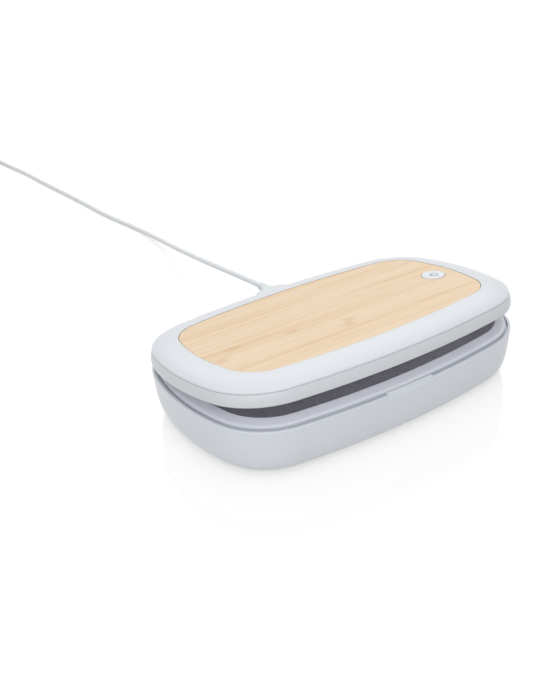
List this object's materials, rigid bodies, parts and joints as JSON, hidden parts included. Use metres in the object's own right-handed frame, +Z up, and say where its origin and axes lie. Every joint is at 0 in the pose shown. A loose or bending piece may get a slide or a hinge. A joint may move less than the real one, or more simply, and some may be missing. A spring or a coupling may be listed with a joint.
{
  "type": "ultraviolet sanitizer box",
  "caption": "Oval-cornered phone sanitizer box with a hinged lid, bamboo charging panel, push button, reflective tray and power lead.",
  "frame": {"origin": "centre of the footprint on the table, under the feet", "axes": "+X along the length towards the button, +Y towards the hinge, +Z up"},
  "size_m": [0.2337, 0.7186, 0.0565],
  "materials": {
    "shell_plastic": "satin pearl",
    "liner_plastic": "satin",
    "tray_coated": "pale satin reflective coating",
    "window": "clear",
    "lamp": "lamp chip",
    "board": "circuit board",
    "steel": "plain",
    "foot_rubber": "matt",
    "bamboo": "satin bamboo, fine strips along the length",
    "chip": "matt",
    "ferrite": "matt",
    "copper": "enamelled copper",
    "foam": "foam pad",
    "button_plastic": "satin",
    "lead_plastic": "satin",
    "cord_jacket": "matt",
    "tie_strap": "woven"
  },
  "bodies": {
    "base": {"base_shell": "shell_plastic", "rim_liner": "liner_plastic", "cavity_tray": "tray_coated", "tray_windows": "window", "base_lamps": "lamp", "base_board": "board", "tray_screws": "steel", "base_magnets": "steel", "rubber_feet": "foot_rubber", "hinge_bracket": "shell_plastic", "hinge_pins": "steel", "power_socket": "steel", "plug_tip": "steel", "plug_grip": "lead_plastic", "plug_relief": "lead_plastic", "cord_run": "cord_jacket", "cord_coil": "cord_jacket", "cord_tie": "tie_strap", "cord_tail": "cord_jacket", "usb_relief": "lead_plastic", "usb_grip": "lead_plastic", "usb_tip": "steel"},
    "lid": {"lid_band": "shell_plastic", "lid_frame": "shell_plastic", "bamboo_panel": "bamboo", "lid_liner": "tray_coated", "lid_windows": "window", "lid_lamps": "lamp", "lamp_boards": "board", "lid_magnets": "steel", "lid_screws": "steel", "hinge_leaves": "shell_plastic", "leaf_screws": "steel", "charge_board": "board", "board_chips": "chip", "coil_ferrite": "ferrite", "charging_coil": "copper", "coil_pad": "foam", "button_guide": "liner_plastic", "switch_body": "chip"},
    "button": {"button_cap": "button_plastic", "switch_plunger": "liner_plastic"}
  },
  "joints": [
    {"name": "lid_hinge", "type": "hinge", "parent": "base", "child": "lid", "pos_m": [0, 0.067, 0.0355], "axis": [-1, 0, 0], "range_deg": [-5.85, 74]},
    {"name": "button_press", "type": "slide", "parent": "lid", "child": "button", "axis": [0, -0.1019, -0.9948], "range_m": [0, 0.0005], "stiffness_N_per_m": 600, "springref_m": -0.002}
  ]
}
